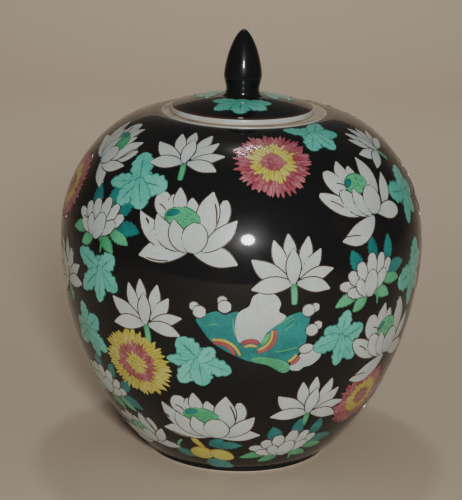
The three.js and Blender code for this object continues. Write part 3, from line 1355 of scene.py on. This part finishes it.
@dataclass
class JarBody:
    """The jar: one glazed wall for both thrown sections, a foot ring and a mouth ring. Millimetres."""

    palette: Palette
    skin: float = 0.7
    wall: float = 6.0
    base: float = 8.0
    throat_radius: float = 42.5
    foot_flare: Point = (40.0, 38.0)
    belly_below: float = 52.0
    belly_above: float = 46.0
    shoulder_reach: float = 34.0
    shoulder_drop: float = 3.1
    belly_height: float = 152.0
    inside_shoulder_reach: float = 44.0
    inside_belly_above: float = 40.0
    inside_foot_flare: Point = (32.0, 30.0)
    glaze_past_ring: float = 0.9
    mouth_width: float = 5.4
    foot_width: float = 7.0
    tread_round: float = 1.4
    steps: int = 30
    inside_steps: int = 16

    def __post_init__(self) -> None:
        """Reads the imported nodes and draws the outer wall's outline."""
        self.lower = RoundNode.of("jar_lower_section")
        self.upper = RoundNode.of("jar_upper_section")
        self.foot = RoundNode.of("foot_ring")
        self.mouth = RoundNode.of("mouth_ring")
        self.joint_radius = self.foot.radius + 3
        self.outside = self.outer_outline()

    @property
    def belly_radius(self) -> float:
        """Radius of the glaze at the belly, a little inside the enamel."""
        return self.lower.radius - self.skin

    @property
    def shoulder_radius(self) -> float:
        """Radius where the shoulder meets the mouth ring."""
        return self.mouth.radius + 2

    def outer_outline(self) -> list[Point]:
        """The glazed wall from the foot joint up to the mouth ring."""
        foot = (self.joint_radius, self.lower.low)
        belly = (self.belly_radius, self.belly_height)
        rise = curve_points(
            foot,
            (foot[0] + self.foot_flare[0], foot[1] + self.foot_flare[1]),
            (belly[0], belly[1] - self.belly_below),
            belly,
            self.steps,
        )
        shoulder = (self.shoulder_radius, self.upper.high)
        fall = curve_points(
            belly,
            (belly[0], belly[1] + self.belly_above),
            (shoulder[0] + self.shoulder_reach, shoulder[1] - self.shoulder_drop),
            shoulder,
            self.steps,
        )
        return rise + fall[1:]

    def build(self) -> None:
        """Builds the wall, the foot ring and the mouth ring."""
        self.build_wall()
        self.build_foot()
        self.build_mouth()

    def build_wall(self) -> None:
        """Spins the wall: black outside, bare seat, clear-glazed throat and inside, clear-glazed recess."""
        ceiling = self.upper.high - self.wall
        floor = self.lower.low + self.base
        inner_belly = self.belly_radius - self.wall
        shoulder_inside = curve_points(
            (self.throat_radius, ceiling),
            (self.throat_radius + self.inside_shoulder_reach, ceiling - 1),
            (inner_belly, self.belly_height + self.inside_belly_above),
            (inner_belly, self.belly_height),
            self.inside_steps,
        )
        lower_inside = curve_points(
            (inner_belly, self.belly_height),
            (inner_belly, self.belly_height - self.belly_below),
            (self.joint_radius + self.inside_foot_flare[0], floor + self.inside_foot_flare[1]),
            (self.joint_radius - self.wall, floor + 3),
            self.inside_steps,
        )
        corner = arc_points((self.joint_radius - self.wall - 6, floor + 6), 6, -20, -90, 4)
        lip = arc_points((self.throat_radius + 1, self.upper.high - 1), 1, 90, 180, 3)
        throat = arc_points((self.throat_radius + 1, ceiling + 1), 1, 180, 270, 3)
        rim = (self.mouth.radius + self.glaze_past_ring, self.upper.high)
        seat = [(self.mouth.radius - 1, self.upper.high), (self.throat_radius + 6, self.upper.high)]
        outline = [(0, self.lower.low), (self.foot.radius - 10, self.lower.low), *self.outside, rim]
        black_until = len(outline) - 1
        outline += seat + lip
        bare_until = len(outline) - 1
        outline += throat + shoulder_inside[1:] + lower_inside[1:] + corner + [(0, floor)]
        wall = SpunPiece(
            "jar_wall",
            outline,
            [
                SpunFinish(self.palette.clear, 1),
                SpunFinish(self.palette.black, black_until),
                SpunFinish(self.palette.thin_black, black_until + 1),
                SpunFinish(self.palette.bare, bare_until),
                SpunFinish(self.palette.clear, len(outline)),
            ],
        ).build(self.palette)
        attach(wall, "jar")
        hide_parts("jar_lower_section", "jar_upper_section")

    def build_foot(self) -> None:
        """Spins the foot ring, glazed black outside and bare where it stands."""
        outer, inner, top = self.foot.radius, self.foot.radius - self.foot_width, self.lower.low + 0.3
        edge = self.tread_round
        glaze_edge = 1.45
        tread = arc_points((inner + edge, edge), edge, 180, 270, 4)
        tread += arc_points((outer - edge, edge), edge, 270, 360, 4)
        outline = [(inner, top), (inner, 2.4), *tread, (outer, glaze_edge), (outer, top)]
        foot = SpunPiece(
            "foot_ring_finished",
            outline,
            [
                SpunFinish(self.palette.clear, 1),
                SpunFinish(self.palette.bare, len(outline) - 2),
                SpunFinish(self.palette.black, len(outline)),
            ],
        ).build(self.palette)
        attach(foot, "jar")
        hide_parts("foot_ring")

    def build_mouth(self) -> None:
        """Spins the flat mouth ring: bare on top, and clear glazed round its outer edge."""
        outer, inner = self.mouth.radius, self.mouth.radius - self.mouth_width
        low, high = self.upper.high - 0.4, self.mouth.high
        lip = arc_points((outer - 0.5, high - 0.5), 0.5, 0, 60, 3)
        flat = [(outer - 0.9, high - 0.1), (outer - 1.8, high - 0.3)]
        flat += [(inner + 0.7, high - 0.3), (inner, high - 0.7)]
        outline = [(inner, low), (outer, low), *lip, *flat]
        ring = SpunPiece(
            "mouth_ring_glazed",
            outline,
            [
                SpunFinish(self.palette.clear, len(lip) + 2),
                SpunFinish(self.palette.bare, len(outline)),
            ],
        ).build(self.palette)
        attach(ring, "jar")
        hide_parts("mouth_ring")


@dataclass
class LidBody:
    """The lid: a disc with a pale rim band and a black dome, its flange, and the bud finial. Millimetres."""

    palette: Palette
    glaze_inset: float = 1.6
    edge_height: float = 3.6
    glaze_height: float = 4.1
    hollow_radius: float = 34.5
    hollow_rise: float = 5.6
    flange_wall: float = 4.2
    neck_radius: float = 11.2
    bud_radius: float = 12.9
    neck_rise: float = 4.2
    bud_rise: float = 13.6
    sharpness: float = 1.5
    fullness: float = 0.6

    def __post_init__(self) -> None:
        """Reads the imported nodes."""
        self.dome = RoundNode.of("lid_dome")
        self.flange = RoundNode.of("lid_flange")
        self.finial = RoundNode.of("lid_finial")
        self.pad_radius = self.finial.radius + 0.6
        self.glaze_radius = self.dome.radius - self.glaze_inset
        level = self.dome.low + self.glaze_height
        reach = 1 - (self.pad_radius / self.glaze_radius) ** LidTop.power
        peak = level + (self.dome.high - level) / reach
        self.top = LidTop(self.dome.middle, self.glaze_radius, level, peak)

    def build(self) -> None:
        """Builds the dome, the flange and the finial."""
        self.build_dome()
        self.build_flange()
        self.build_finial()

    def build_dome(self) -> None:
        """Spins the disc: hollow and bare underneath, a clear-glazed rim band, and a black dome."""
        base = self.dome.low
        hollow = curve_points(
            (0, base + self.hollow_rise),
            (self.hollow_radius / 2, base + self.hollow_rise),
            (self.hollow_radius * 0.8, base + 1),
            (self.hollow_radius, base),
            12,
        )
        tread = arc_points((self.dome.radius - 0.7, base + 0.7), 0.7, -90, 0, 3)
        band_top = (self.dome.radius - 0.9, base + self.edge_height - 0.9)
        band = arc_points(band_top, 0.9, 10, 80, 4)
        top = []
        for step in range(26):
            radius = self.glaze_radius + (self.pad_radius - self.glaze_radius) * step / 25
            top.append((radius, self.top.height_at(radius)))
        outline = [*hollow, *tread, *band, *top, (0, top[-1][1])]
        bare_until = len(hollow) + len(tread) - 1
        band_until = bare_until + len(band)
        dome = SpunPiece(
            "lid_dome_glazed",
            outline,
            [
                SpunFinish(self.palette.bare, bare_until),
                SpunFinish(self.palette.clear, band_until),
                SpunFinish(self.palette.thin_black, band_until + 2),
                SpunFinish(self.palette.black, len(outline)),
            ],
            self.dome.middle,
        ).build(self.palette)
        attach(dome, "lid")
        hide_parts("lid_dome")

    def build_flange(self) -> None:
        """Spins the bare ring that keeps the lid in the throat."""
        outer, inner = self.flange.radius, self.flange.radius - self.flange_wall
        low, high = self.flange.low, self.dome.low + 0.3
        tread = arc_points((inner + 0.9, low + 0.9), 0.9, 180, 270, 3) + arc_points(
            (outer - 0.9, low + 0.9), 0.9, 270, 360, 3
        )
        outline = [(inner, high), *tread, (outer, high)]
        flange = SpunPiece(
            "lid_flange_bare", outline, [SpunFinish(self.palette.bare, len(outline))], self.flange.middle
        ).build(self.palette)
        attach(flange, "lid")
        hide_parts("lid_flange")

    def build_finial(self) -> None:
        """Spins the closed bud on its waisted neck."""
        low, height = self.finial.low, self.finial.high - self.finial.low
        outline = [(0, low - 0.8), (self.finial.radius + 0.8, low - 0.8)]
        outline += curve_points(
            (self.finial.radius + 0.8, low - 0.35),
            (self.finial.radius - 1.8, low),
            (self.neck_radius, low + self.neck_rise * 0.5),
            (self.neck_radius, low + self.neck_rise),
            8,
        )[:-1]
        for step in range(10):
            share = step / 10
            swell = (1 - math.cos(math.pi * share)) / 2
            radius = self.neck_radius + (self.bud_radius - self.neck_radius) * swell
            outline.append((radius, low + self.neck_rise + (self.bud_rise - self.neck_rise) * share))
        for step in range(32):
            rise = math.sin(math.pi / 2 * step / 32)
            radius = self.bud_radius * (1 - rise**self.sharpness) ** self.fullness
            outline.append((radius, low + self.bud_rise + (height - self.bud_rise) * rise))
        outline.append((0, self.finial.high))
        finial = SpunPiece(
            "lid_finial_glazed",
            outline,
            [SpunFinish(self.palette.black, len(outline))],
            self.finial.middle,
            96,
        ).build(self.palette)
        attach(finial, "lid")
        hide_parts("lid_finial")


# ---------------------------------------------------------------- the decoration


@dataclass(frozen=True)
class Painted:
    """A motif, its pieces' name and its place."""

    name: str
    motif: Motif
    place: Place


@dataclass
class Decoration:
    """Everything painted on the jar and its lid."""

    palette: Palette
    wall: Wall
    lid_top: LidTop

    def build(self) -> None:
        """Paints the front, the back and the lid, and makes the pieces."""
        coats = CoatShelf(self.palette, self.wall, "jar")
        for item in self.front():
            item.motif.paint(coats, item.name, item.place)
        coats.side = "back"
        for item in self.back():
            item.motif.paint(coats, item.name, item.place)
        coats.finish_all()
        lid_coats = CoatShelf(self.palette, self.lid_top, "lid")
        leaf = LobedLeaf(((163, 21, 11), (8, 20, 11), (213, 22, 12), (329, 19, 13), (266, 19, 13)), 8.0)
        for turn, size in ((0, 1.0), (118, 0.8), (242, 0.8)):
            leaf.paint(lid_coats, "lid_leaves", Place(turn, 22, 0, size))
        # A small white enamel spot at the front of the lid, just inside the pale rim band.
        front_spot = lid_coats.own("lid_glaze_drip", self.palette.white)
        front_spot.stroke(Place(-1, self.lid_top.edge_radius - 1), (-2.4, 0), (2.4, 0), 1.8, Stroke.ROUND)
        lid_coats.finish_all()

    def front(self) -> list[Painted]:
        """The motifs on the front half."""
        heart_leaf = LobedLeaf(
            ((182, 23, 9), (135, 21, 16), (233, 24, 13), (340, 22, 13), (275, 20, 15), (48, 14, 10))
        )
        drop_leaf = LobedLeaf(((160, 26, 13), (221, 27, 12), (40, 18, 13), (326, 20, 13), (265, 23, 11)))
        star_leaf = LobedLeaf(((150, 19, 11), (40, 20, 12), (345, 20, 11), (233, 20, 12), (288, 19, 12)))
        fan_leaf = LobedLeaf(
            ((80, 20, 11), (148, 16, 11), (20, 19, 13), (196, 21, 13), (306, 22, 12), (268, 21, 10))
        )
        low_front = (((-8, 2), (-35, 29), 13, 3.0, Stroke.POINTED), *OpenLotus.front[1:])
        return [
            Painted("shoulder_lotus_left", OpenLotus(), Place(-65, 66, -35, 0.82)),
            Painted("shoulder_side_lotus_left", SideLotus(), Place(-23, 78, 0, 0.95)),
            Painted("shoulder_chrysanthemum", Chrysanthemum(), Place(12, 82)),
            Painted("shoulder_leaf_right", star_leaf, Place(39, 105)),
            Painted("shoulder_side_lotus_right", SideLotus(), Place(69, 78, 25, 0.8)),
            Painted("shoulder_leaning_lotus", LeaningLotus(), Place(45, 39)),
            Painted("belly_leaf_far_right", LobedLeaf(), Place(69, 46, 60, 0.9)),
            Painted("shoulder_leaf_left", LobedLeaf(), Place(-38, 60)),
            Painted("belly_peony_left", Peony(), Place(-50, 27, -6)),
            Painted("belly_lotus", OpenLotus(6.5), Place(-15, 20)),
            Painted("belly_side_lotus_right", SideLotus(), Place(16, 1.5, -1, 1.04)),
            Painted("belly_leaf_left", drop_leaf, Place(-47, -3)),
            Painted("belly_side_lotus_left", SideLotus(), Place(-29, -32)),
            Painted("waist_chrysanthemum_left", Chrysanthemum(True), Place(-35, -63)),
            Painted("waist_leaf_far_left", fan_leaf, Place(-57, -50, 20)),
            Painted("drapery", Drapery(), Place(4, -34)),
            Painted("waist_leaf_left", heart_leaf, Place(-12, -53)),
            Painted("waist_leaf_right", fan_leaf, Place(33, -40)),
            Painted("belly_peony_right", Peony(), Place(42, -4, 4)),
            Painted("waist_leaning_lotus", LeaningLotus(), Place(55, -62)),
            Painted("waist_chrysanthemum_right", Chrysanthemum(), Place(52, -95, 0, 0.94)),
            Painted("foot_lotus", OpenLotus(-3.0, front=low_front), Place(-9, -120)),
            Painted("foot_side_lotus_right", SideLotus(), Place(27, -98, -6)),
            Painted("foot_peony_right", Peony(), Place(22, -133)),
            Painted("gourd", Gourd(), Place(-11, -137)),
            Painted("foot_lotus_left", OpenLotus(), Place(-43, -140, 12, 0.74)),
            Painted("waist_peony_left", Peony(), Place(-56, -92, -30, 0.9)),
            Painted("shoulder_chrysanthemum_left", Chrysanthemum(), Place(-79, 40, 0, 0.95)),
            Painted("belly_side_lotus_far_left", SideLotus(), Place(-68, -22, 20)),
            Painted("belly_leaf_right", LobedLeaf(), Place(67, -8, 80)),
        ]

    def back(self) -> list[Painted]:
        """The motifs on the back half, in rows that carry the front's on round the jar."""
        leaf, side, lotus = LobedLeaf(), SideLotus(), OpenLotus()
        leaning, peony = LeaningLotus(), Peony()
        rose, yellow = Chrysanthemum(), Chrysanthemum(True)
        rows = (
            ("back_shoulder", 78, 112, 32, (leaf, lotus, yellow, side, leaf)),
            ("back_upper_belly", 32, 94, 30, (side, peony, leaf, side, leaning, leaf)),
            ("back_lower_belly", -20, 91, 31, (rose, leaf, lotus, peony, side, leaf)),
            ("back_waist", -69, 92, 31, (leaf, side, leaf, leaning, yellow, side)),
            ("back_foot", -116, 88, 37, (side, leaf, lotus, leaf, side)),
        )
        luck = random.Random("back")
        items = []
        for name, rise, first, step, motifs in rows:
            for index, motif in enumerate(motifs):
                azimuth = first + index * step + luck.uniform(-3, 3)
                height = rise + luck.uniform(-3, 3)
                turn = luck.uniform(-18, 18)
                flip = luck.random() < 0.5
                items.append(Painted(name, motif, Place(azimuth, height, turn, 0.92, flip)))
        return items


# ---------------------------------------------------------------- the studio


@dataclass
class Studio:
    """A plain pale sweep, soft lamps and the camera. Metres."""

    distance: float = 1.2008
    height: float = 0.4836
    pitch_deg: float = 15.95
    roll_deg: float = 1.38
    lens: float = 129.6
    shift: float = -0.0197
    floor_colour: Colour = (0.58, 0.47, 0.35)
    front_edge: float = -0.7
    wall_place: float = 1.9
    wall_curve: float = 0.6
    wall_height: float = 0.8

    def build(self) -> None:
        """Makes the camera, the sweep, the lamps and the surrounding light."""
        self.camera()
        self.sweep()
        self.lamp("front_lamp", (0.09, -1.25, 0.58), (0, 0, 0.16), 0.17, 14.5)
        self.lamp("top_lamp", (-0.01, 0.24, 1.39), (0, 0, 0.2), 0.12, 2.0)
        self.lamp("backdrop_lamp", (0, 0.6, 1.4), (0, 3.0, 0.2), 0.6, 13.0)
        self.world()

    def camera(self) -> None:
        """Looks slightly down at the jar, with a little roll."""
        data = bpy.data.cameras.new("camera")
        data.lens = self.lens
        data.shift_x = self.shift
        camera = bpy.data.objects.new("camera", data)
        tilt = Matrix.Rotation(math.radians(90 - self.pitch_deg), 4, "X")
        roll = Matrix.Rotation(math.radians(self.roll_deg), 4, "Z")
        camera.matrix_world = Matrix.Translation((0, -self.distance, self.height)) @ tilt @ roll
        bpy.context.scene.collection.objects.link(camera)
        bpy.context.scene.camera = camera

    def sweep(self) -> None:
        """Makes the floor, which curves up into a wall behind."""
        form = bmesh.new()
        across = 3.0
        bend = arc_points((self.wall_place - self.wall_curve, self.wall_curve), self.wall_curve, -90, 0, 12)
        profile = [(self.front_edge, 0.0), *bend, (self.wall_place, self.wall_height)]
        points = [form.verts.new((-across, y, z)) for y, z in profile]
        edges = [form.edges.new(pair) for pair in zip(points, points[1:])]
        pulled = bmesh.ops.extrude_edge_only(form, edges=edges)["geom"]
        verts = [part for part in pulled if isinstance(part, bmesh.types.BMVert)]
        bmesh.ops.translate(form, verts=verts, vec=(2 * across, 0, 0))
        bmesh.ops.recalc_face_normals(form, faces=form.faces)
        mesh = bpy.data.meshes.new("floor")
        form.to_mesh(mesh)
        form.free()
        recipe = Recipe("floor")
        recipe.set(Base_Color=(*self.floor_colour, 1), Roughness=0.7)
        dressed(mesh, [recipe.material], 60)

    def lamp(self, name: str, at: tuple, towards: tuple, size: float, power: float) -> None:
        """Adds a round lamp.

        Args:
            name: Its name.
            at: Where it is.
            towards: The point that it faces.
            size: Its diameter.
            power: Its power in watts.
        """
        data = bpy.data.lights.new(name, "AREA")
        data.shape = "DISK"
        data.size = size
        data.energy = power
        lamp = bpy.data.objects.new(name, data)
        lamp.location = at
        lamp.rotation_euler = (Vector(at) - Vector(towards)).to_track_quat("Z", "Y").to_euler()
        bpy.context.scene.collection.objects.link(lamp)

    def world(self) -> None:
        """Gives the scene an even, soft surrounding light."""
        world = bpy.data.worlds.new("studio")
        world.use_nodes = True
        light = world.node_tree.nodes["Background"]
        light.inputs["Color"].default_value = (1.0, 0.96, 0.9, 1)
        light.inputs["Strength"].default_value = 0.09
        bpy.context.scene.world = world


def main() -> None:
    """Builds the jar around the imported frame."""
    logging.basicConfig(level=logging.INFO, format="%(message)s")
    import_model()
    Studio().build()
    palette = Palette()
    jar = JarBody(palette)
    jar.build()
    lid = LidBody(palette)
    lid.build()
    Decoration(palette, Wall(jar.outside, jar.belly_height), lid.top).build()


if __name__ == "__main__":
    main()
